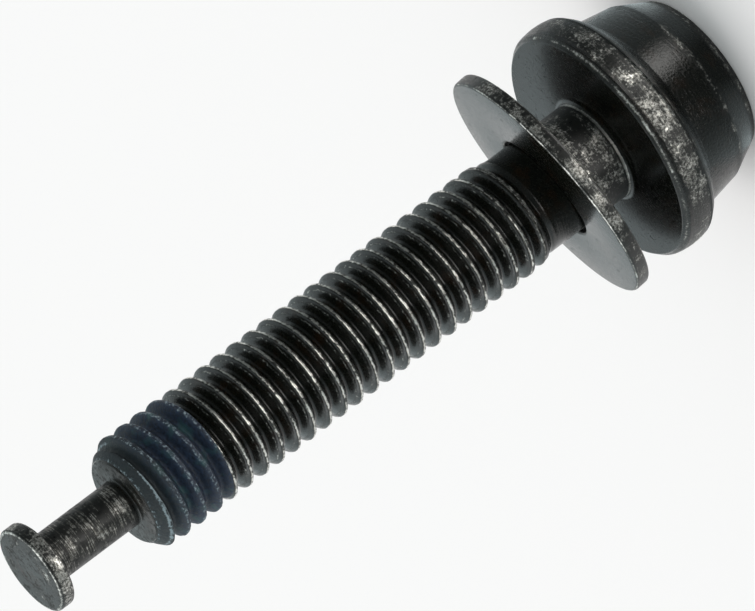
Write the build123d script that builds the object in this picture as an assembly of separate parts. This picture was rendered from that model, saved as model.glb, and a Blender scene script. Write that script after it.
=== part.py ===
from build123d import *
import os
from math import atan, cos, hypot, pi, radians, sin, sqrt, tan

# A flanged screw that holds a disc brake caliper, with a loose washer on its shank.
# It stands on its head: the origin is the centre of the head's top face, and +Z
# runs along the axis to the small button at the tip.

# Head body, two cones under a bevelled top rim
head_top_radius = 4.27
head_bevel_width = 0.17
head_bevel_height = 0.34
head_break_radius = 5.11
head_break_height = 1.69
head_foot_radius = 5.50
head_foot_height = 3.88

# Hexagon socket for the key, sunk in the head's top face
socket_across_flats = 5.0
socket_depth = 3.0
socket_mouth_bevel = 0.25
socket_point_angle = 118.0

# Flange: a sloping back, a crowned rim and a flat seat
flange_radius = 6.50
flange_back_slope_height = 0.52
flange_back_bevel = 0.28
flange_crown = 0.09
flange_thickness = 2.08
seat_edge_width = 0.23
seat_edge_height = 0.34

# Plain shank between the flange and the thread
shank_radius = 2.70
shank_fillet = 0.30
shank_length = 5.15

# Rolled M6 coarse thread, which fades into the shank and is bevelled at the tip
thread_pitch = 1.0
thread_crest_radius = 2.98
thread_depth = 0.58
thread_crest_flat = 0.16
thread_flank_angle = 60.0
thread_length = 25.2
thread_runout = 0.80
thread_lead_length = 0.95
thread_lead_radius = 2.30
thread_turned_by = 120.0
thread_steps_per_turn = 20
# whole turns wound before the start and past the end, and then cut away
spare_turns = 2

# Neck and round button at the tip
neck_radius = 1.265
neck_length = 5.02
neck_bevel = 0.16
button_radius = 2.33
button_thickness = 0.80
button_bevel = 0.17

# Loose flat washer, a little wider than the flange, which hangs askew on the shank
# and can't pass the thread
washer_overhang = 0.12
washer_thickness = 0.80
washer_edge_bevel = 0.16
washer_bore_bevel = 0.10
washer_bore_clearance = 0.06
washer_tilt_about_x = 10.9
washer_tilt_about_y = 4.7
washer_centre_above_seat = 2.98

# Dried locking compound in the grooves behind the thread's first turn
compound_depth = 0.22
compound_turns = 3.6
compound_from_thread_end = 0.60
compound_gap = 0.01

# Heights and angles that follow from the sizes above
flange_back_height = head_foot_height + flange_back_slope_height
seat_height = flange_back_height + flange_thickness
thread_start = seat_height + shank_length
thread_end = thread_start + thread_length
button_start = thread_end + neck_length
tip_height = button_start + button_thickness
washer_radius = flange_radius + washer_overhang
thread_root_radius = thread_crest_radius - thread_depth
flank_slope = tan(radians(thread_flank_angle / 2))
# a radius well inside the flats of the stepped root
inside_root = thread_root_radius * cos(2 * pi / thread_steps_per_turn)

# The direction towards the axis in a turned outline, where X is the radius
inward = (-1, 0)


def turned(outline):
    """Turn a closed outline of radius and height about the Z axis."""
    return revolve(Plane.XZ * make_face(outline), Axis.Z)


def head():
    """The two-cone head body and the flange, as one turned form."""
    crown_end_radius = flange_radius - flange_crown
    back_edge = (crown_end_radius, flange_back_height + flange_back_bevel)
    seat_shoulder = (crown_end_radius, seat_height - seat_edge_height)
    crown_middle = (flange_radius, (back_edge[1] + seat_shoulder[1]) / 2)
    back = Polyline(
        (0, 0),
        (head_top_radius, 0),
        (head_top_radius + head_bevel_width, head_bevel_height),
        (head_break_radius, head_break_height),
        (head_foot_radius, head_foot_height),
        (crown_end_radius - flange_back_bevel, flange_back_height),
        back_edge,
    )
    crown = ThreePointArc(back_edge, crown_middle, seat_shoulder)
    seat = Polyline(
        seat_shoulder,
        (crown_end_radius - seat_edge_width, seat_height),
        (0, seat_height),
        (0, 0),
    )
    return turned(back + crown + seat)


def socket():
    """The hexagon socket with the cone that its drill leaves and a bevelled mouth."""
    flat_radius = socket_across_flats / 2
    corner_radius = socket_across_flats / sqrt(3)
    hexagon = RegularPolygon(flat_radius, 6, major_radius=False)
    point_height = flat_radius / tan(radians(socket_point_angle / 2))
    point = Cone(flat_radius, 0, point_height)
    mouth_radius = corner_radius + socket_mouth_bevel
    mouth = Cone(mouth_radius, 0, mouth_radius)
    return (
        extrude(hexagon, socket_depth)
        + Pos(0, 0, socket_depth + point_height / 2) * point
        + Pos(0, 0, mouth_radius / 2) * mouth
    )


def shank():
    """The plain shank, with a fillet at the flange and a cone where the thread fades."""
    foot = (shank_radius + shank_fillet, seat_height)
    fillet_top = (shank_radius, seat_height + shank_fillet)
    fade_end = thread_start + thread_runout
    base = Polyline((0, flange_back_height), (shank_radius, flange_back_height), (shank_radius, seat_height), foot)
    side = Polyline(
        fillet_top,
        (shank_radius, thread_start),
        (inside_root, fade_end),
        (0, fade_end),
        (0, flange_back_height),
    )
    return turned(base + TangentArc(foot, fillet_top, tangent=inward) + side)


def winding_point(corner, step):
    """A corner of a section, given as radius and height, after some steps round the helix."""
    radius, height = corner
    turns = step / thread_steps_per_turn
    angle = 2 * pi * turns
    return Vector(radius * cos(angle), radius * sin(angle), height + turns * thread_pitch)


def winding_strip(low_corner, high_corner, step_count):
    """The faces that one side of a section leaves as it winds up the helix."""
    faces = []
    for step in range(step_count):
        low = Edge.make_line(winding_point(low_corner, step), winding_point(low_corner, step + 1))
        high = Edge.make_line(winding_point(high_corner, step), winding_point(high_corner, step + 1))
        faces.append(Face.make_surface_from_curves(low, high))
    return faces


def flat_face(points):
    return Face(Wire.make_polygon(points, close=True))


def ridge_section():
    """Corners of one pitch of the thread: up a flank, along the crest and down to the root."""
    flank_rise = thread_depth * flank_slope
    return [
        (thread_root_radius, 0),
        (thread_crest_radius, flank_rise),
        (thread_crest_radius, flank_rise + thread_crest_flat),
        (thread_root_radius, 2 * flank_rise + thread_crest_flat),
        (thread_root_radius, thread_pitch),
    ]


def threaded_rod(turns):
    """A rod with the single-start right-hand thread, closed by a fan at each end."""
    section = ridge_section()
    step_count = turns * thread_steps_per_turn
    faces = []
    for low_corner, high_corner in zip(section, section[1:]):
        faces += winding_strip(low_corner, high_corner, step_count)
    for first_step in (0, step_count):
        rim = [winding_point(section[0], first_step + i) for i in range(thread_steps_per_turn + 1)]
        middle = Vector(0, 0, rim[0].Z + thread_pitch / 2)
        faces += [flat_face([middle, rim[i], rim[i + 1]]) for i in range(thread_steps_per_turn)]
        faces.append(flat_face([middle] + [winding_point(corner, first_step) for corner in section]))
    return Solid(Shell(faces))


def thread_blank():
    """The turned form that bounds the thread: faded at the shank, bevelled at the tip."""
    inside_shank = (shank_radius + thread_root_radius) / 2
    clear_of_crest = thread_crest_radius + 0.1 * thread_depth
    return turned(
        Polyline(
            (0, thread_start - thread_pitch / 2),
            (inside_shank, thread_start - thread_pitch / 2),
            (inside_shank, thread_start),
            (clear_of_crest, thread_start + thread_runout),
            (clear_of_crest, thread_end - thread_lead_length),
            (thread_lead_radius, thread_end),
            (0, thread_end),
            (0, thread_start - thread_pitch / 2),
        )
    )


def placed_thread(solid):
    """Set a solid that winds from the XY plane where the thread begins on the screw."""
    return Pos(0, 0, thread_start - spare_turns * thread_pitch) * Rot(Z=thread_turned_by) * solid


def thread():
    """The rolled thread, cut to its turned blank."""
    turns = int(thread_length / thread_pitch) + 2 * spare_turns
    return placed_thread(threaded_rod(turns)) & thread_blank()


def neck_and_button():
    """The slim neck and the round button at the tip."""
    below = thread_end - thread_pitch
    return turned(
        Polyline(
            (0, below),
            (neck_radius, below),
            (neck_radius, thread_end),
            (neck_radius + neck_bevel, thread_end),
            (neck_radius, thread_end + neck_bevel),
            (neck_radius, button_start - neck_bevel),
            (neck_radius + neck_bevel, button_start),
            (button_radius - button_bevel, button_start),
            (button_radius, button_start + button_bevel),
            (button_radius, tip_height - button_bevel),
            (button_radius - button_bevel, tip_height),
            (0, tip_height),
            (0, below),
        )
    )


def bolt():
    """The whole screw, which is one forged and rolled piece."""
    return head() - socket() + shank() + thread() + neck_and_button()


def washer():
    """The flat washer, tilted about its own centre on the shank."""
    lean = hypot(tan(radians(washer_tilt_about_x)), tan(radians(washer_tilt_about_y)))
    lean_cosine = cos(atan(lean))
    lean_sine = sin(atan(lean))
    half = washer_thickness / 2
    # the bore clears the round shank that leans through the washer's thickness
    bore_radius = (shank_radius + half * lean_sine) / lean_cosine + washer_bore_clearance
    ring = turned(
        Polyline(
            (bore_radius + washer_bore_bevel, -half),
            (washer_radius - washer_edge_bevel, -half),
            (washer_radius, -half + washer_edge_bevel),
            (washer_radius, half - washer_edge_bevel),
            (washer_radius - washer_edge_bevel, half),
            (bore_radius + washer_bore_bevel, half),
            (bore_radius, half - washer_bore_bevel),
            (bore_radius, -half + washer_bore_bevel),
            (bore_radius + washer_bore_bevel, -half),
        )
    )
    centre_height = seat_height + washer_centre_above_seat
    return Pos(0, 0, centre_height) * Rot(-washer_tilt_about_x, -washer_tilt_about_y, 0) * ring


def thread_lock_patch():
    """The locking compound: one long band that lies in the thread's groove."""
    flank_rise = thread_depth * flank_slope
    groove_foot = 2 * flank_rise + thread_crest_flat
    inner_radius = thread_root_radius + compound_gap
    outer_radius = inner_radius + compound_depth
    side_gap = compound_gap / cos(radians(thread_flank_angle / 2))

    def groove_corners(radius):
        spread = (radius - thread_root_radius) * flank_slope - side_gap
        return (radius, groove_foot - spread), (radius, thread_pitch + spread)

    inner_low, inner_high = groove_corners(inner_radius)
    outer_low, outer_high = groove_corners(outer_radius)
    section = [inner_low, outer_low, outer_high, inner_high, inner_low]
    step_count = round(compound_turns * thread_steps_per_turn)
    faces = []
    for low_corner, high_corner in zip(section, section[1:]):
        faces += winding_strip(low_corner, high_corner, step_count)
    for end_step in (0, step_count):
        faces.append(flat_face([winding_point(corner, end_step) for corner in section[:4]]))
    band = Solid(Shell(faces))
    # whole turns from the rod's first groove to the groove where the compound begins
    compound_start = thread_end - compound_from_thread_end - compound_turns * thread_pitch
    turns_up = round((compound_start - thread_start) / thread_pitch) + spare_turns - 1
    return placed_thread(Pos(0, 0, turns_up * thread_pitch) * band)


os.makedirs("parts", exist_ok=True)
export_step(bolt(), "parts/bolt.step")
export_step(washer(), "parts/washer.step")
export_step(thread_lock_patch(), "parts/thread_lock_patch.step")
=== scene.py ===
import math

import bmesh
import bpy
from mathutils import Matrix, Vector


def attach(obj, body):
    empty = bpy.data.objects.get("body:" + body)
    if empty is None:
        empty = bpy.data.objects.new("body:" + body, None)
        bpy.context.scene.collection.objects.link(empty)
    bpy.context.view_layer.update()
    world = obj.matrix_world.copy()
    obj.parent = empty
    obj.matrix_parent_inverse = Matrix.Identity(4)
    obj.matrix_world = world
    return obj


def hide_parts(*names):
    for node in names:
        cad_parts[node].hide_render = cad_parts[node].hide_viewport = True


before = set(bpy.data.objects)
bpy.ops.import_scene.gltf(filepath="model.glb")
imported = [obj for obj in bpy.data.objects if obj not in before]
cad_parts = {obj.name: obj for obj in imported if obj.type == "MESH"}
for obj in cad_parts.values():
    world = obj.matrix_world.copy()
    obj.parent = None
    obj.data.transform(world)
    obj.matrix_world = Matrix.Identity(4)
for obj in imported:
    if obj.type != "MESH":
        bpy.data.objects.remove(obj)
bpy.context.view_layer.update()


# The screw's turned form: head, flange, shank, neck and button.
# The real screw is one piece of steel. Its head is cold forged in a round die, which leaves soft
# edges, and its shank, neck and button are turned.

# radii and heights in millimetres, from the top face of the head, which the screw stands on
mm = 0.001
top_face_middle_radius = 3.9
head_top_radius = 4.27
head_bevel_width = 0.17
head_bevel_height = 0.34
head_break_radius = 5.11
head_break_height = 1.69
head_foot_radius = 5.50
head_foot_height = 3.88
flange_radius = 6.50
flange_shoulder_radius = 6.41
flange_back_height = 4.40
flange_back_drop = 0.05
flange_back_bevel = 0.30
flange_crown_round = 3.0
seat_edge_width = 0.26
seat_edge_height = 0.30
seat_height = 6.48
shank_radius = 2.70
thread_start = 11.63
# the thread's last, shallow ridge fades away on the shank at this height
runout_start = 11.38
thread_end = 36.83
thread_lead_radius = 2.30
neck_radius = 1.265
button_start = 41.85
button_radius = 2.33
tip_height = 42.65
tip_recess_radius = 1.10
tip_recess_slope = 0.10
tip_recess_depth = 0.03
socket_across_flats = 5.0
socket_depth = 3.0
socket_mouth_bevel = 0.25
socket_point_angle = math.radians(118)

# points round the axis, a multiple of 12 so that the socket's corners and flats fall on them
columns = 96
# steps round each rounded corner of an outline
corner_steps = 6
# points closer together than this become one
weld_distance = 0.002 * mm


def rounded_outline(corners):
    """Points along straight runs of radius and height, each corner rounded by its third number."""
    outline = [corners[0][:2]]
    for before, corner, after in zip(corners, corners[1:], corners[2:]):
        here = Vector(corner[:2])
        back = (Vector(before[:2]) - here).normalized()
        forth = (Vector(after[:2]) - here).normalized()
        half_angle = back.angle(forth) / 2
        centre = here + (back + forth).normalized() * corner[2] / math.sin(half_angle)
        start = here + back * corner[2] / math.tan(half_angle) - centre
        end = here + forth * corner[2] / math.tan(half_angle) - centre
        sweep = start.angle_signed(end)
        for step in range(corner_steps + 1):
            spoke = Matrix.Rotation(-sweep * step / corner_steps, 2) @ start
            outline.append(tuple(centre + spoke))
    return outline + [corners[-1][:2]]


def circle(radius, height):
    """One ring of points about the axis, or the pole where the radius is nothing."""
    if radius == 0:
        return [Vector((0, 0, height))]
    turns = [2 * math.pi * column / columns for column in range(columns)]
    return [Vector((radius * math.cos(turn), radius * math.sin(turn), height)) for turn in turns]


def add_rings(mesh, rings):
    """Join rings of points into a skin, with a fan of triangles at each pole."""
    rows = [[mesh.verts.new(point * mm) for point in ring] for ring in rings]
    for low, high in zip(rows, rows[1:]):
        for column in range(columns):
            after = (column + 1) % columns
            if len(low) == 1:
                mesh.faces.new((low[0], high[column], high[after]))
            elif len(high) == 1:
                mesh.faces.new((low[column], low[after], high[0]))
            else:
                mesh.faces.new((low[column], low[after], high[after], high[column]))


def socket_rings():
    """The hexagon socket, from the point of its drilled end out to its bevelled mouth."""
    flat_radius = socket_across_flats / 2
    point_height = socket_depth + flat_radius / math.tan(socket_point_angle / 2)
    mouth_radius = socket_across_flats / math.sqrt(3) + socket_mouth_bevel
    hexagon = circle(flat_radius, 0)
    for point in hexagon:
        past_corner = math.atan2(point.y, point.x) % (math.pi / 3)
        point *= 1 / math.cos(past_corner - math.pi / 6)
    floor_edge = [point + Vector((0, 0, socket_depth)) for point in hexagon]
    mouth_edge = [point + Vector((0, 0, mouth_radius - point.length)) for point in hexagon]
    rim = circle(mouth_radius, 0)
    return [circle(0, point_height), circle(flat_radius, socket_depth), floor_edge, mouth_edge, rim]


def finished_object(name, mesh_under_way):
    """Close a mesh up, turn its faces outwards, smooth it and put it in the scene."""
    bmesh.ops.remove_doubles(mesh_under_way, verts=mesh_under_way.verts, dist=weld_distance)
    bmesh.ops.recalc_face_normals(mesh_under_way, faces=mesh_under_way.faces)
    mesh = bpy.data.meshes.new(name)
    mesh_under_way.to_mesh(mesh)
    mesh_under_way.free()
    mesh.shade_smooth()
    made = bpy.data.objects.new(name, mesh)
    bpy.context.scene.collection.objects.link(made)
    return made


flange_middle = (flange_back_height + seat_height) / 2
flange_crown = flange_radius - flange_shoulder_radius
# radius, height and rounding of each corner, from the head's top face to where the thread begins
head_outline = rounded_outline([
    (top_face_middle_radius, 0, 0),
    (head_top_radius, 0, 0.12),
    (head_top_radius + head_bevel_width, head_bevel_height, 0.30),
    (head_break_radius, head_break_height, 0.12),
    (head_foot_radius, head_foot_height, 0.15),
    (flange_shoulder_radius - flange_back_bevel, flange_back_height - flange_back_drop, 0.30),
    (flange_shoulder_radius, flange_back_height + flange_back_bevel, 0.30),
    (flange_radius + flange_crown, flange_middle, flange_crown_round),
    (flange_shoulder_radius, seat_height - seat_edge_height, 0.25),
    (flange_shoulder_radius - seat_edge_width, seat_height, 0.10),
    (shank_radius, seat_height, 0.30),
    (shank_radius, runout_start, 0),
])
# the same from the thread's end face to the middle of the button's face
tip_outline = rounded_outline([
    (thread_lead_radius, thread_end, 0),
    (neck_radius, thread_end, 0.12),
    (neck_radius, button_start, 0.12),
    (button_radius, button_start, 0.16),
    (button_radius, tip_height, 0.14),
    (tip_recess_radius, tip_height, 0.05),
    (tip_recess_radius - tip_recess_slope, tip_height - tip_recess_depth, 0.05),
    (0, tip_height - tip_recess_depth, 0),
])

screw = bmesh.new()
add_rings(screw, socket_rings() + [circle(radius, height) for radius, height in head_outline])
add_rings(screw, [circle(radius, height) for radius, height in tip_outline])


# The thread, rolled into the screw's own steel: M6 x 1.0, one start, right hand.
# The dies press the metal up into rounded crests, which close with a faint seam along their middle.
# Every turn follows one rule, so nodes wind a grid of points along the helix and set each point's radius.
pitch = 1.0
crest_radius = 2.98
root_radius = 2.40
crest_flat = 0.16
flank_degrees = 60
flank_slope = math.tan(math.radians(flank_degrees / 2))
# the share of a turn by which the helix is turned about the screw
turned_by = 120 / 360
rows_per_pitch = 26
# the height of a crest's middle on the X axis, whole turns below the thread's start
turns_below = 3
crest_phase = thread_start - turns_below * pitch + (crest_radius - root_radius) * flank_slope
crest_phase += crest_flat / 2
crest_phase -= turned_by * pitch

MATH = "ShaderNodeMath"
VECTOR_MATH = "ShaderNodeVectorMath"


def add_node(tree, kind, *inputs, **settings):
    """Add one node, set its properties, and fill its inputs in order from values, sockets or nodes."""
    made = tree.nodes.new(kind)
    for name, value in settings.items():
        setattr(made, name, value)
    sockets = [socket for socket in made.inputs if socket.enabled]
    for socket, value in zip(sockets, inputs):
        if isinstance(value, bpy.types.Node):
            value = next(output for output in value.outputs if output.enabled)
        if isinstance(value, bpy.types.NodeSocket):
            tree.links.new(value, socket)
        elif value is not None:
            socket.default_value = value
    return made


def thread_nodes():
    """A tree that winds a thread between the rings at its start height and its end height.

    A noise node takes a place, a scale, its detail and its roughness.
    """
    tree = bpy.data.node_groups.new("wound_thread", "GeometryNodeTree")
    sizes = (
        "Pitch", "Crest Radius", "Root Radius", "Crest Flat", "Flank Slope", "Crest Round", "Root Round",
        "Seam Depth", "Seam Width", "Open Length", "Open Flat", "Open Seam Depth", "Open Seam Width",
        "Unevenness", "Uneven Scale", "Start Height", "Start Radius", "Run-out Length",
        "End Height", "End Radius", "Lead Length", "Phase Height", "Row Crowding",
    )
    for name in sizes:
        tree.interface.new_socket(name, in_out="INPUT", socket_type="NodeSocketFloat")
    for name in ("Columns", "Rows per Pitch"):
        tree.interface.new_socket(name, in_out="INPUT", socket_type="NodeSocketInt")
    tree.interface.new_socket("Material", in_out="INPUT", socket_type="NodeSocketMaterial")
    tree.interface.new_socket("Thread", in_out="OUTPUT", socket_type="NodeSocketGeometry")
    given = {socket.name: socket for socket in add_node(tree, "NodeGroupInput").outputs}

    # as many whole turns as the length holds, and some to spare, which the end rings swallow
    spare_turns = 4
    length = add_node(tree, MATH, given["End Height"], given["Start Height"], operation="SUBTRACT")
    held = add_node(tree, MATH, length, given["Pitch"], operation="DIVIDE")
    whole_turns = add_node(tree, MATH, held, operation="CEIL")
    turns = add_node(tree, MATH, whole_turns, spare_turns, operation="ADD")
    rows = add_node(tree, MATH, turns, given["Rows per Pitch"], 1, operation="MULTIPLY_ADD")
    across = add_node(tree, MATH, given["Columns"], 1, operation="ADD")
    grid = add_node(tree, "GeometryNodeMeshGrid", 1, 1, across, rows)

    # each point's share of a turn, and how many pitches it lies along the helix
    index = add_node(tree, "GeometryNodeInputIndex")
    index_middle = add_node(tree, MATH, index, 0.5, operation="ADD")
    counted = add_node(tree, MATH, index_middle, rows, operation="DIVIDE")
    column = add_node(tree, MATH, counted, operation="FLOOR")
    passed = add_node(tree, MATH, column, rows, operation="MULTIPLY")
    row = add_node(tree, MATH, index, passed, operation="SUBTRACT")
    turn = add_node(tree, MATH, column, given["Columns"], operation="DIVIDE")
    pitches = add_node(tree, MATH, row, given["Rows per Pitch"], operation="DIVIDE")

    # rows crowd together at the crest, where the surface bends most
    phase = add_node(tree, MATH, pitches, 2 * math.pi, operation="MULTIPLY")
    wave = add_node(tree, MATH, phase, operation="SINE")
    crowding = add_node(tree, MATH, given["Row Crowding"], -0.5 / math.pi, operation="MULTIPLY")
    crowded = add_node(tree, MATH, wave, crowding, pitches, operation="MULTIPLY_ADD")
    share = add_node(tree, MATH, crowded, 0.5, operation="PINGPONG")
    from_crest = add_node(tree, MATH, share, given["Pitch"], operation="MULTIPLY")

    # heights past either end gather on that end's ring
    wound_by = add_node(tree, MATH, crowded, turn, operation="ADD")
    climb = add_node(tree, MATH, wound_by, given["Pitch"], given["Phase Height"],
                     operation="MULTIPLY_ADD")
    height = add_node(tree, "ShaderNodeClamp", climb, given["Start Height"], given["End Height"])
    above_start = add_node(tree, MATH, height, given["Start Height"], operation="SUBTRACT")

    # near the start the dies press less, and the crests stay flatter and open along their middle
    open_end = add_node(tree, MATH, given["Start Height"], given["Open Length"], operation="ADD")
    openness = add_node(tree, "ShaderNodeMapRange", height, given["Start Height"], open_end, 1, 0)
    flat = add_node(tree, MATH, openness, given["Open Flat"], given["Crest Flat"],
                    operation="MULTIPLY_ADD")
    seam_width = add_node(tree, MATH, openness, given["Open Seam Width"], given["Seam Width"],
                          operation="MULTIPLY_ADD")
    seam_depth = add_node(tree, MATH, openness, given["Open Seam Depth"], given["Seam Depth"],
                          operation="MULTIPLY_ADD")

    # the section: flat crest, straight flank and root, rounded between, with a seam along the crest
    half_flat = add_node(tree, MATH, flat, 0.5, operation="MULTIPLY")
    past_flat = add_node(tree, MATH, half_flat, from_crest, operation="SUBTRACT")
    climbed = add_node(tree, MATH, past_flat, given["Flank Slope"], operation="DIVIDE")
    flank = add_node(tree, MATH, given["Crest Radius"], climbed, operation="ADD")
    crested = add_node(tree, MATH, flank, given["Crest Radius"], given["Crest Round"],
                       operation="SMOOTH_MIN")
    section = add_node(tree, MATH, crested, given["Root Radius"], given["Root Round"],
                       operation="SMOOTH_MAX")
    seam_place = add_node(tree, MATH, from_crest, seam_width, operation="DIVIDE")
    seam_square = add_node(tree, MATH, seam_place, 2, operation="POWER")
    seam_fall = add_node(tree, MATH, seam_square, -1, operation="MULTIPLY")
    seam_shape = add_node(tree, MATH, seam_fall, operation="EXPONENT")
    seam = add_node(tree, MATH, seam_shape, seam_depth, operation="MULTIPLY")
    seamed = add_node(tree, MATH, section, seam, operation="SUBTRACT")

    # the metal or compound isn't quite even along the helix
    angle = add_node(tree, MATH, turn, 2 * math.pi, operation="MULTIPLY")
    across_x = add_node(tree, MATH, angle, operation="COSINE")
    across_y = add_node(tree, MATH, angle, operation="SINE")
    around = add_node(tree, "ShaderNodeCombineXYZ", across_x, across_y, 0)
    on_crest = add_node(tree, VECTOR_MATH, around, given["Crest Radius"], operation="SCALE")
    lifted = add_node(tree, "ShaderNodeCombineXYZ", 0, 0, height)
    spot = add_node(tree, VECTOR_MATH, on_crest, lifted, operation="ADD")
    cloud = add_node(tree, "ShaderNodeTexNoise", spot, given["Uneven Scale"], 2, 0.6)
    centred = add_node(tree, MATH, cloud, 0.5, operation="SUBTRACT")
    uneven = add_node(tree, MATH, centred, given["Unevenness"], seamed, operation="MULTIPLY_ADD")

    # the ridge fades in from its first ring, and its lead is bevelled down to its last
    fade = add_node(tree, "ShaderNodeMapRange", above_start, 0, given["Run-out Length"], 0, 1,
                    interpolation_type="SMOOTHSTEP")
    gained = add_node(tree, MATH, uneven, given["Start Radius"], operation="SUBTRACT")
    faded = add_node(tree, MATH, gained, fade, given["Start Radius"], operation="MULTIPLY_ADD")
    lead_rise = add_node(tree, MATH, given["Crest Radius"], given["End Radius"], operation="SUBTRACT")
    to_end = add_node(tree, MATH, given["End Height"], height, operation="SUBTRACT")
    lead_share = add_node(tree, MATH, to_end, given["Lead Length"], operation="DIVIDE")
    lead = add_node(tree, MATH, lead_share, lead_rise, given["End Radius"], operation="MULTIPLY_ADD")
    lead_round = add_node(tree, MATH, to_end, given["Crest Round"], operation="MINIMUM")
    radius = add_node(tree, MATH, faded, lead, lead_round, operation="SMOOTH_MIN")

    outward = add_node(tree, VECTOR_MATH, around, radius, operation="SCALE")
    place = add_node(tree, VECTOR_MATH, outward, lifted, operation="ADD")
    wound = add_node(tree, "GeometryNodeSetPosition", grid.outputs["Mesh"], None, place)
    welded = add_node(tree, "GeometryNodeMergeByDistance", wound, None, weld_distance / 2)
    realized = add_node(tree, "GeometryNodeRealizeInstances", welded)
    finished = add_node(tree, "GeometryNodeSetMaterial", realized, None, given["Material"])
    add_node(tree, "NodeGroupOutput", finished)
    return tree


def wind_thread(name, tree, sizes):
    """Run the thread nodes with these sizes and return the plain mesh that they make."""
    carrier = bpy.data.objects.new(name, bpy.data.meshes.new(name))
    bpy.context.scene.collection.objects.link(carrier)
    modifier = carrier.modifiers.new(name, "NODES")
    modifier.node_group = tree
    sockets = {item.name: item.identifier for item in tree.interface.items_tree if item.in_out == "INPUT"}
    for socket_name, value in sizes.items():
        modifier[sockets[socket_name]] = value
    evaluated = carrier.evaluated_get(bpy.context.evaluated_depsgraph_get())
    mesh = bpy.data.meshes.new_from_object(evaluated)
    carrier.modifiers.remove(modifier)
    bpy.data.objects.remove(carrier)
    return mesh


# Black zinc phosphate with a film of oil on the steel: a thin, nearly black and slightly glossy coat.
# It is rubbed through to dull steel on crests, rims and edges, in specks and in fine turned scratches.
phosphate_black = "#0a0b09"
phosphate_grey = "#15160f"
oil_brown = "#1b1209"
rubbed_steel = "#6a6861"
bright_steel = "#e0ded8"


def linear(hex_colour):
    """An sRGB hex colour as the linear red, green, blue and alpha that a shader takes."""
    shares = [int(hex_colour[place:place + 2], 16) / 255 for place in (1, 3, 5)]
    return [c / 12.92 if c <= 0.04045 else ((c + 0.055) / 1.055) ** 2.4 for c in shares] + [1]


def rubbed_share(tree, radius, height, zones):
    """How far the coat is rubbed off: each zone's strength on its line, fading out over its reach.

    A zone gives the line's radius, its lowest and highest point, the reach and the strength.
    """
    share = 0
    for zone_radius, low, high, reach, strength in zones:
        aside = add_node(tree, MATH, radius, zone_radius, operation="SUBTRACT")
        above = add_node(tree, MATH, height, high, operation="SUBTRACT")
        below = add_node(tree, MATH, low, height, operation="SUBTRACT")
        past_end = add_node(tree, MATH, above, below, operation="MAXIMUM")
        beyond = add_node(tree, MATH, past_end, 0, operation="MAXIMUM")
        offset = add_node(tree, "ShaderNodeCombineXYZ", aside, beyond, 0)
        distance = add_node(tree, VECTOR_MATH, offset, operation="LENGTH")
        here = add_node(tree, "ShaderNodeMapRange", distance, 0, reach, strength, 0)
        share = add_node(tree, MATH, here, share, operation="MAXIMUM")
    return share


def crest_share(tree, place, height):
    """How far the coat is rubbed along the crest's middle, on a thin line that wavers and breaks.

    A fainter line runs beside it, where the crest turns into the flank.
    """
    waver_width = 0.12
    line_core = 0.015
    line_edge = 0.095
    flank_line_offset = 0.20
    flank_line_reach = 0.045
    split = add_node(tree, "ShaderNodeSeparateXYZ", place)
    angle = add_node(tree, MATH, split.outputs["Y"], split.outputs["X"], operation="ARCTAN2")
    unwound = add_node(tree, MATH, angle, -pitch / (2 * math.pi), height, operation="MULTIPLY_ADD")
    waver = add_node(tree, "ShaderNodeTexNoise", place, 5.0, 2, 0.6)
    wavered = add_node(tree, MATH, waver, waver_width, unwound, operation="MULTIPLY_ADD")
    from_first = add_node(tree, MATH, wavered, crest_phase + waver_width / 2, operation="SUBTRACT")
    from_crest = add_node(tree, MATH, from_first, pitch / 2, operation="PINGPONG")
    pressed = add_node(tree, "ShaderNodeTexNoise", place, 2.6, 3, 0.7)
    strength = add_node(tree, "ShaderNodeMapRange", pressed, 0.36, 0.64, 0.55, 2.3)
    middle = add_node(tree, "ShaderNodeMapRange", from_crest, line_core, line_edge, strength, 0)
    aside = add_node(tree, MATH, from_crest, flank_line_offset, operation="SUBTRACT")
    apart = add_node(tree, MATH, aside, operation="ABSOLUTE")
    faint = add_node(tree, MATH, strength, 0.45, operation="MULTIPLY")
    flank_line = add_node(tree, "ShaderNodeMapRange", apart, 0, flank_line_reach, faint, 0)
    line = add_node(tree, MATH, middle, flank_line, operation="MAXIMUM")
    # the line begins past the shallow first turn, and stops short of the bevelled lead
    started = add_node(tree, "ShaderNodeMapRange", height, thread_start + 0.3, thread_start + 1.5, 0, 1)
    not_over = add_node(tree, MATH, height, thread_end - 0.9, operation="LESS_THAN")
    along = add_node(tree, MATH, started, not_over, operation="MULTIPLY")
    return add_node(tree, MATH, line, along, operation="MULTIPLY")


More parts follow.
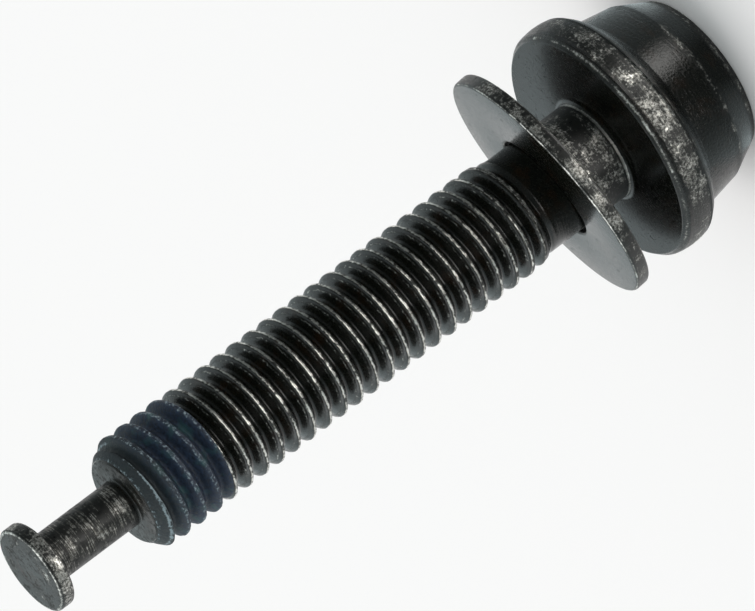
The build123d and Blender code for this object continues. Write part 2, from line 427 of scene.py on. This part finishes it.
def phosphated_steel(name, zones, centre, lean, threaded, forged_height):
    """The coated steel about an axis with this centre and lean, rubbed in its zones and along any thread.

    Below the forged height it keeps the grainy skin of the die.
    """
    # how many of each mark lie along a millimetre
    clouds_per_mm = 1.0
    specks_per_mm = 7.0
    scratches_per_mm = 14
    spots_per_mm = 3.2
    crystals_per_mm = 8.0
    forged_grain = 0.060 * mm
    turned_grain = 0.015 * mm
    material = bpy.data.materials.new(name)
    material.use_nodes = True
    tree = material.node_tree
    shader = tree.nodes["Principled BSDF"]

    # the place on the piece, in millimetres about its own axis
    coordinates = add_node(tree, "ShaderNodeTexCoord")
    turned = add_node(tree, "ShaderNodeMapping", coordinates.outputs["Object"], centre * mm, lean,
                      vector_type="TEXTURE")
    place = add_node(tree, VECTOR_MATH, turned, 1 / mm, operation="SCALE")
    across = add_node(tree, VECTOR_MATH, place, (1, 1, 0), operation="MULTIPLY")
    radius = add_node(tree, VECTOR_MATH, across, operation="LENGTH")
    height = add_node(tree, "ShaderNodeSeparateXYZ", place).outputs["Z"]

    # wide clouds, fine specks, and scratches that run round the piece; the neck has most of them
    clouds = add_node(tree, "ShaderNodeTexNoise", place, clouds_per_mm, 3, 0.6)
    specks = add_node(tree, "ShaderNodeTexNoise", place, specks_per_mm, 4, 0.8)
    stretched = add_node(tree, VECTOR_MATH, place, (0.9, 0.9, scratches_per_mm), operation="MULTIPLY")
    scratches = add_node(tree, "ShaderNodeTexNoise", stretched, 1.0, 2, 0.6)
    on_neck = add_node(tree, "ShaderNodeMapRange", height, thread_end, thread_end + 0.1, 0.3, 0.8)
    on_button = add_node(tree, "ShaderNodeMapRange", height, button_start - 0.2, button_start, 0, 0.5)
    scratched = add_node(tree, MATH, on_neck, on_button, operation="SUBTRACT")
    marks = add_node(tree, "ShaderNodeMix", scratched, specks, scratches, data_type="FLOAT")

    # how far the coat is rubbed, and the steel that shows where its marks pass that share
    share = rubbed_share(tree, radius, height, zones)
    patchy = add_node(tree, "ShaderNodeMapRange", clouds, 0.35, 0.65, 0.5, 1.3)
    share = add_node(tree, MATH, share, patchy, operation="MULTIPLY")
    # more of the coat is bared on the side that faces the camera, a painted highlight that brightens that
    # side
    outwards = add_node(tree, VECTOR_MATH, across, operation="NORMALIZE")
    side = add_node(tree, "ShaderNodeSeparateXYZ", outwards)
    camera_side_highlight = add_node(tree, "ShaderNodeMapRange", side.outputs["Y"], -0.95, -0.55, 1.08, 0.86)
    share = add_node(tree, MATH, share, camera_side_highlight, operation="MULTIPLY")
    if threaded:
        share = add_node(tree, MATH, share, crest_share(tree, place, height), operation="MAXIMUM")
    threshold = add_node(tree, MATH, share, -0.45, 0.84, operation="MULTIPLY_ADD")
    excess = add_node(tree, MATH, marks, threshold, operation="SUBTRACT")
    bare = add_node(tree, "ShaderNodeMapRange", excess, -0.09, 0.12, 0, 1)

    # the coat's black, greyed in specks and browned by oil in clouds, and the steel that rubbing polishes
    brown = add_node(tree, "ShaderNodeMapRange", clouds, 0.52, 0.70, 0, 1)
    grey = add_node(tree, "ShaderNodeMapRange", specks, 0.35, 0.70, 0, 1)
    coat = add_node(tree, "ShaderNodeMix", grey, linear(phosphate_black), linear(phosphate_grey),
                    data_type="RGBA")
    coat = add_node(tree, "ShaderNodeMix", brown, coat, linear(oil_brown), data_type="RGBA")
    polish = add_node(tree, MATH, share, 0.22, specks, operation="MULTIPLY_ADD")
    brightness = add_node(tree, "ShaderNodeMapRange", polish, 0.58, 0.84, 0, 1)
    steel = add_node(tree, "ShaderNodeMix", brightness, linear(rubbed_steel), linear(bright_steel),
                     data_type="RGBA")
    colour = add_node(tree, "ShaderNodeMix", bare, coat.outputs[2], steel.outputs[2], data_type="RGBA")
    coat_roughness = add_node(tree, MATH, specks, 0.60, -0.08, operation="MULTIPLY_ADD")
    scuffed = add_node(tree, MATH, share, 0.42, coat_roughness, operation="MULTIPLY_ADD")
    # a few spots where the coat stayed dull, and more of them on the faces past the thread
    spots = add_node(tree, "ShaderNodeTexNoise", place, spots_per_mm, 3, 0.7)
    soiled = add_node(tree, "ShaderNodeMapRange", height, thread_end - 0.1, thread_end - 0.02, 0, 0.12)
    soiled_spots = add_node(tree, MATH, spots, soiled, operation="ADD")
    dull = add_node(tree, "ShaderNodeMapRange", soiled_spots, 0.63, 0.75, 0, 0.6)
    dulled = add_node(tree, "ShaderNodeMix", dull, scuffed, 0.9, data_type="FLOAT")
    roughness = add_node(tree, "ShaderNodeMix", bare, dulled, 0.30, data_type="FLOAT")
    tree.links.new(colour.outputs[2], shader.inputs["Base Color"])
    tree.links.new(bare.outputs["Result"], shader.inputs["Metallic"])
    tree.links.new(roughness.outputs[0], shader.inputs["Roughness"])

    # the crystals of the coat are finer than a pixel, and are drawn an eighth of a millimetre wide
    crystals = add_node(tree, "ShaderNodeTexNoise", place, crystals_per_mm, 2, 0.6)
    relief = add_node(tree, "ShaderNodeMix", 0.4, crystals, scratches, data_type="FLOAT")
    rubbed_relief = add_node(tree, MATH, bare, -0.4, relief, operation="MULTIPLY_ADD")
    grain = add_node(tree, "ShaderNodeMapRange", height, forged_height, forged_height + 0.1,
                     forged_grain, turned_grain)
    bump = add_node(tree, "ShaderNodeBump", 0.8, grain, None, rubbed_relief)
    tree.links.new(bump.outputs["Normal"], shader.inputs["Normal"])
    return material


rolled_thread = {
    "Pitch": pitch * mm,
    "Crest Radius": crest_radius * mm,
    "Root Radius": root_radius * mm,
    "Crest Flat": crest_flat * mm,
    "Flank Slope": flank_slope,
    "Crest Round": 0.10 * mm,
    "Root Round": 0.10 * mm,
    "Seam Depth": 0.02 * mm,
    "Seam Width": 0.025 * mm,
    "Open Length": 3.6 * mm,
    "Open Flat": 0.22 * mm,
    "Open Seam Depth": 0.05 * mm,
    "Open Seam Width": 0.10 * mm,
    "Unevenness": 0.05 * mm,
    "Uneven Scale": 1 / (0.5 * mm),
    "Start Height": runout_start * mm,
    "Start Radius": shank_radius * mm,
    "Run-out Length": 1.4 * mm,
    "End Height": thread_end * mm,
    "End Radius": thread_lead_radius * mm,
    "Lead Length": 0.76 * mm,
    "Phase Height": crest_phase * mm,
    "Row Crowding": 0.7,
    "Columns": columns,
    "Rows per Pitch": rows_per_pitch,
}
winding = thread_nodes()
screw_thread = wind_thread("rolled_thread", winding, rolled_thread)
screw.from_mesh(screw_thread)
bolt_steel = finished_object("bolt_steel", screw)

bolt_zones = [
    # the first full crests, and the shallow ridge before them
    (2.985, thread_start + 0.9, thread_start + 3.5, 0.045, 0.8),
    (2.93, 11.3, 12.5, 0.10, 0.9),
    # the thread's end face round the neck
    (1.80, thread_end - 0.05, thread_end, 0.60, 0.50),
    # the flange's rim, its edge at the seat and its edge at the back
    (flange_radius, 4.85, 6.00, 0.32, 0.70),
    (6.30, 6.20, 6.42, 0.13, 0.90),
    (6.35, 4.45, 4.60, 0.18, 0.6),
    # the ridge between the head's cones, and its top rim
    (head_break_radius, 1.66, 1.72, 0.45, 0.62),
    (4.40, 0.15, 0.35, 0.22, 0.7),
    # the fillet under the flange, bared to bright steel along its top edge, partly wear and partly a
    # painted highlight, and the plain shank
    (2.71, 6.74, 6.80, 0.07, 2.0),
    (shank_radius, 7.0, 9.6, 0.35, 0.66),
    # the neck
    (neck_radius, 37.2, 41.6, 0.25, 0.57),
    # the button's side, its edge and its face
    (button_radius, 41.95, 42.5, 0.20, 0.80),
    (2.22, 42.58, tip_height, 0.20, 1.2),
    (1.55, 42.60, tip_height, 0.90, 0.64),
]
upright = Vector((0, 0, 0))
# the skin of the die ends just under the flange's seat
forged_top = 6.3
bolt_finish = phosphated_steel("oiled_black_phosphated_steel", bolt_zones, upright, upright,
                               threaded=True, forged_height=forged_top)
bolt_steel.data.materials.append(bolt_finish)
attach(bolt_steel, "bolt")
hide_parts("bolt")


# The locking compound on the first turns of the thread.
# It is a dried blue-black dispersion with hard capsules in it, brushed on over grooves and crests alike,
# so it is thick and soft in the grooves, and worn thin and pale along the crests.
compound_start = 32.15
compound_end = 36.74
# the film's inner wall lies out of sight under the grooves
compound_inside = root_radius - 0.06
compound_end_radius = 2.395
compound_navy = "#0f1a2a"
compound_slate = "#21324b"
compound_teal = "#245552"
compound_green_black = "#192222"
compound_worn = "#7d8a8f"

compound_film = dict(rolled_thread)
compound_film.update({
    "Crest Radius": (crest_radius + 0.035) * mm,
    "Root Radius": (root_radius + 0.07) * mm,
    "Crest Flat": (crest_flat + 0.03) * mm,
    "Root Round": 0.18 * mm,
    "Seam Depth": 0,
    "Unevenness": 0.09 * mm,
    "Uneven Scale": 1 / (0.35 * mm),
    "Start Height": compound_start * mm,
    "Start Radius": compound_inside * mm,
    "Run-out Length": 0.30 * mm,
    "End Height": compound_end * mm,
    "End Radius": compound_end_radius * mm,
    "Lead Length": 0.67 * mm,
    # the film has no open crests
    "Open Length": 0.001 * mm,
})
compound_film["Phase Height"] = (crest_phase + math.floor(compound_start - thread_start)) * mm
compound = bmesh.new()
compound.from_mesh(wind_thread("compound_film", winding, compound_film))
inner_wall = [
    (compound_inside, compound_start),
    (thread_lead_radius, compound_end),
    (compound_end_radius, compound_end),
]
add_rings(compound, [circle(radius, height) for radius, height in inner_wall])
dried_compound = finished_object("dried_compound", compound)

compound_finish = bpy.data.materials.new("dried_locking_compound")
compound_finish.use_nodes = True
tree = compound_finish.node_tree
shader = tree.nodes["Principled BSDF"]
coordinates = add_node(tree, "ShaderNodeTexCoord")
place = add_node(tree, VECTOR_MATH, coordinates.outputs["Object"], 1 / mm, operation="SCALE")
across = add_node(tree, VECTOR_MATH, place, (1, 1, 0), operation="MULTIPLY")
radius = add_node(tree, VECTOR_MATH, across, operation="LENGTH")
height = add_node(tree, "ShaderNodeSeparateXYZ", place).outputs["Z"]
# capsules of a sixth of a millimetre, and patches of a millimetre
capsules_per_mm = 6.0
patches_per_mm = 1.1
capsules = add_node(tree, "ShaderNodeTexNoise", place, capsules_per_mm, 3, 0.7)
patches = add_node(tree, "ShaderNodeTexNoise", place, patches_per_mm, 2, 0.5)
worn_zones = [
    # the crests, the upper edge of the lead and its end
    (crest_radius + 0.03, compound_start, 35.7, 0.10, 0.62),
    (2.80, 36.0, 36.25, 0.18, 1.25),
    (2.42, 36.66, compound_end, 0.16, 0.62),
]
share = rubbed_share(tree, radius, height, worn_zones)
threshold = add_node(tree, MATH, share, -0.36, 0.78, operation="MULTIPLY_ADD")
excess = add_node(tree, MATH, capsules, threshold, operation="SUBTRACT")
worn = add_node(tree, "ShaderNodeMapRange", excess, -0.06, 0.08, 0, 1)
# navy and slate from capsule to capsule, teal in patches, and greener where it thins out on the lead
blue_share = add_node(tree, "ShaderNodeMapRange", capsules, 0.35, 0.68, 0, 1)
blue = add_node(tree, "ShaderNodeMix", blue_share, linear(compound_navy), linear(compound_slate),
                data_type="RGBA")
teal_share = add_node(tree, "ShaderNodeMapRange", patches, 0.54, 0.70, 0, 0.5)
teal = add_node(tree, "ShaderNodeMix", teal_share, blue.outputs[2], linear(compound_teal),
                data_type="RGBA")
thin_share = add_node(tree, "ShaderNodeMapRange", height, 35.0, 36.0, 0, 0.85)
body_colour = add_node(tree, "ShaderNodeMix", thin_share, teal.outputs[2], linear(compound_green_black),
                       data_type="RGBA")
colour = add_node(tree, "ShaderNodeMix", worn, body_colour.outputs[2], linear(compound_worn),
                  data_type="RGBA")
tree.links.new(colour.outputs[2], shader.inputs["Base Color"])
roughness = add_node(tree, "ShaderNodeMapRange", capsules, 0.3, 0.7, 0.50, 0.75)
tree.links.new(roughness.outputs["Result"], shader.inputs["Roughness"])
bump = add_node(tree, "ShaderNodeBump", 0.8, 0.05 * mm, None, capsules)
tree.links.new(bump.outputs["Normal"], shader.inputs["Normal"])

dried_compound.data.materials.append(compound_finish)
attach(dried_compound, "bolt")
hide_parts("thread_lock_patch")


# The loose flat washer, a steel ring punched from sheet and tumbled, so that its edges are round.
# It has the screw's black coat, hangs askew on the plain shank, and can't pass the thread.
washer_radius = 6.62
washer_bore_radius = 2.902
washer_thickness = 0.80
washer_edge_round = 0.17
washer_bore_round = 0.10
washer_height = 9.46
tilt_about_x = Matrix.Rotation(math.radians(-10.9), 4, "X")
tilt_about_y = Matrix.Rotation(math.radians(-4.7), 4, "Y")
washer_lean = tilt_about_x @ tilt_about_y

half = washer_thickness / 2
washer_outline = rounded_outline([
    (washer_bore_radius, 0, 0),
    (washer_bore_radius, half, washer_bore_round),
    (washer_radius, half, washer_edge_round),
    (washer_radius, -half, washer_edge_round),
    (washer_bore_radius, -half, washer_bore_round),
    (washer_bore_radius, 0, 0),
])
ring = bmesh.new()
add_rings(ring, [circle(radius, height) for radius, height in washer_outline])
washer_place = Matrix.Translation((0, 0, washer_height * mm)) @ washer_lean
bmesh.ops.transform(ring, matrix=washer_place, verts=ring.verts)
washer_ring = finished_object("washer_ring", ring)

washer_zones = [
    # the rim, its two edges, and the bore's upper edge
    (washer_radius, -0.25, 0.25, 0.25, 0.66),
    (washer_radius - 0.07, -half + 0.04, -half + 0.06, 0.08, 1.1),
    (washer_radius - 0.07, half - 0.06, half - 0.04, 0.08, 1.1),
    (washer_bore_radius + 0.03, half - 0.05, half, 0.12, 0.8),
]
washer_centre = Vector((0, 0, washer_height))
# no part of the ring lies this low, so none of it has the skin of a die
below_the_ring = -1.0
washer_finish = phosphated_steel("glossy_black_phosphated_steel", washer_zones, washer_centre,
                                 washer_lean.to_euler(), threaded=False, forged_height=below_the_ring)
washer_ring.data.materials.append(washer_finish)
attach(washer_ring, "washer")
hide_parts("washer")


# The studio: a pale paper floor, a pale room, and one wide soft lamp overhead.
# Cards for a dark cloth and for low white softboxes stand on the camera's side of the screw.
# They show in the gloss of the steel alone, and throw no light and no shadow on the floor.
floor_colour = "#faf1ef"
room_colour = "#d3e0e2"
floor_half_size = 2.0
lamp_energy = 1.18
lamp_width = math.radians(70)
lamp_direction = (math.radians(-20), math.radians(-15), 0)

floor_mesh = bpy.data.meshes.new("studio_floor")
corners = [(x * floor_half_size, y * floor_half_size, 0) for x, y in ((-1, -1), (1, -1), (1, 1), (-1, 1))]
floor_mesh.from_pydata(corners, [], [(0, 1, 2, 3)])
studio_floor = bpy.data.objects.new("studio_floor", floor_mesh)
bpy.context.scene.collection.objects.link(studio_floor)
paper = bpy.data.materials.new("matt_white_paper")
paper.use_nodes = True
paper_shader = paper.node_tree.nodes["Principled BSDF"]
paper_shader.inputs["Base Color"].default_value = linear(floor_colour)
paper_shader.inputs["Roughness"].default_value = 1.0
paper_shader.inputs["Specular IOR Level"].default_value = 0.0
floor_mesh.materials.append(paper)

world = bpy.data.worlds.new("pale_room")
world.use_nodes = True
bpy.context.scene.world = world
world.node_tree.nodes["Background"].inputs["Color"].default_value = linear(room_colour)
world.node_tree.nodes["Background"].inputs["Strength"].default_value = 1.0

lamp = bpy.data.lights.new("overhead_softbox", "SUN")
lamp.energy = lamp_energy
lamp.angle = lamp_width
overhead = bpy.data.objects.new("overhead_softbox", lamp)
overhead.rotation_euler = lamp_direction
bpy.context.scene.collection.objects.link(overhead)


def glossy_card(name, colour, rows, levels):
    """A card seen only in reflections, made of rows of points, with its brightness at some azimuths.

    Azimuths are in degrees about the screw, and 0 is towards the camera.
    """
    card_mesh = bpy.data.meshes.new(name)
    width = len(rows[0])
    points = [[value * mm for value in point] for row in rows for point in row]
    faces = []
    for row in range(len(rows) - 1):
        for place in range(width - 1):
            first = row * width + place
            faces.append((first, first + 1, first + width + 1, first + width))
    card_mesh.from_pydata(points, [], faces)
    card = bpy.data.objects.new(name, card_mesh)
    bpy.context.scene.collection.objects.link(card)
    material = bpy.data.materials.new(name)
    material.use_nodes = True
    card_tree = material.node_tree
    place = add_node(card_tree, "ShaderNodeTexCoord").outputs["Object"]
    split = add_node(card_tree, "ShaderNodeSeparateXYZ", place)
    towards_camera = add_node(card_tree, MATH, split.outputs["Y"], -1, operation="MULTIPLY")
    azimuth = add_node(card_tree, MATH, split.outputs["X"], towards_camera, operation="ARCTAN2")
    brightness = 0
    for (from_azimuth, from_level), (to_azimuth, to_level) in zip(levels, levels[1:]):
        here = add_node(card_tree, "ShaderNodeMapRange", azimuth, math.radians(from_azimuth),
                        math.radians(to_azimuth), 0, to_level - from_level)
        brightness = add_node(card_tree, MATH, brightness, here, operation="ADD")
    brightness = add_node(card_tree, MATH, brightness, levels[0][1], operation="ADD")
    glow = add_node(card_tree, "ShaderNodeEmission", linear(colour), brightness)
    card_tree.links.new(glow.outputs["Emission"], card_tree.nodes["Material Output"].inputs["Surface"])
    card_mesh.materials.append(material)
    card.visible_camera = False
    card.visible_diffuse = False
    card.visible_shadow = False
    card.visible_transmission = False
    card.visible_volume_scatter = False


def swept(profile, from_azimuth, to_azimuth, steps):
    """Rows of points at each radius and height of a profile, round the side that the camera is on."""
    rows = []
    for out, up in profile:
        row = []
        for step in range(steps + 1):
            azimuth = math.radians(from_azimuth + (to_azimuth - from_azimuth) * step / steps)
            row.append((out * math.sin(azimuth), -out * math.cos(azimuth), up))
        rows.append(row)
    return rows


# the cloth in three parts: round the head, beside it, and out past the camera
head_cloth_profile = [(4.45, 0.15), (6.0, 0.3)]
head_cloth_levels = [
    (-80, 0.9), (-68, 1.1), (-55, 0.85), (-30, 0.5), (-14, 0.12), (14, 0.12),
    (30, 0.4), (50, 0.5), (66, 1.05), (85, 1.3), (118, 0.8),
]
glossy_card("head_cloth", room_colour, swept(head_cloth_profile, -80, 118, 66), head_cloth_levels)
near_cloth_profile = [(6.0, 0.3), (8, 0.4), (11, 0.5)]
near_cloth_levels = [
    (-80, 1.0), (-55, 0.6), (-35, 0.25), (-18, 0.11),
    (12, 0.10), (50, 0.4), (95, 0.7), (118, 1.0),
]
glossy_card("near_cloth", room_colour, swept(near_cloth_profile, -80, 118, 66), near_cloth_levels)
cloth_profile = [
    (11, 0.5), (40, 0.5), (130, 0.5), (170, 6),
    (200, 30), (215, 90), (220, 180), (220, 320),
]
cloth_levels = [(-72, 0.8), (-58, 0.35), (-42, 0.16), (-10, 0.12), (60, 0.12), (95, 0.18), (122, 0.9)]
glossy_card("dark_cloth", room_colour, swept(cloth_profile, -72, 122, 64), cloth_levels)
# the softboxes: a low one with two bright ends, one farther out, and one near the head
card_white = "#f6f5f2"
softbox_profile = [(12, 1.0), (30, 1.0)]
softbox_levels = [
    (-40, 0.2), (-32, 4.2), (-20, 4.2), (-10, 1.2),
    (6, 1.0), (14, 4.2), (27, 4.2), (37, 0.3),
]
glossy_card("low_softbox", card_white, swept(softbox_profile, -40, 37, 40), softbox_levels)
far_profile = [(30, 1.0), (165, 1.5)]
far_levels = [(-40, 0.2), (-30, 3.8), (-18, 3.8), (-6, 1.8), (10, 1.0), (20, 0.2)]
glossy_card("far_softbox", card_white, swept(far_profile, -40, 16, 28), far_levels)
near_profile = [(6.5, 0.8), (12, 1.0)]
near_levels = [(10, 0.2), (19, 3.8), (25, 3.8), (37, 0.2)]
glossy_card("near_softbox", card_white, swept(near_profile, 10, 37, 24), near_levels)


# The camera sees the screw as the photograph does: from a little above, and rolled far over.
# Its distance and the height that it aims at are in millimetres, and the picture is then moved over
# by a few of its pixels.
elevation = math.radians(21.226)
roll = math.radians(126.784)
distance = 600.5
pixels_per_mm = 20.846
frame_width_px = 755
aim_height = 20.526
aim_right_px = -2.17
aim_up_px = 5.15

turn = Matrix.Rotation(math.pi / 2 - elevation, 4, "X") @ Matrix.Rotation(-roll, 4, "Z")
offset = turn @ Vector((aim_right_px / pixels_per_mm, aim_up_px / pixels_per_mm, distance))
camera_data = bpy.data.cameras.new("studio_camera")
camera_data.lens = pixels_per_mm * distance / frame_width_px * camera_data.sensor_width
camera_data.clip_start = 0.01
camera_data.clip_end = 10
camera = bpy.data.objects.new("studio_camera", camera_data)
camera.matrix_world = Matrix.Translation((Vector((0, 0, aim_height)) + offset) * mm) @ turn
bpy.context.scene.collection.objects.link(camera)
bpy.context.scene.camera = camera
bpy.context.scene.view_settings.view_transform = "Standard"
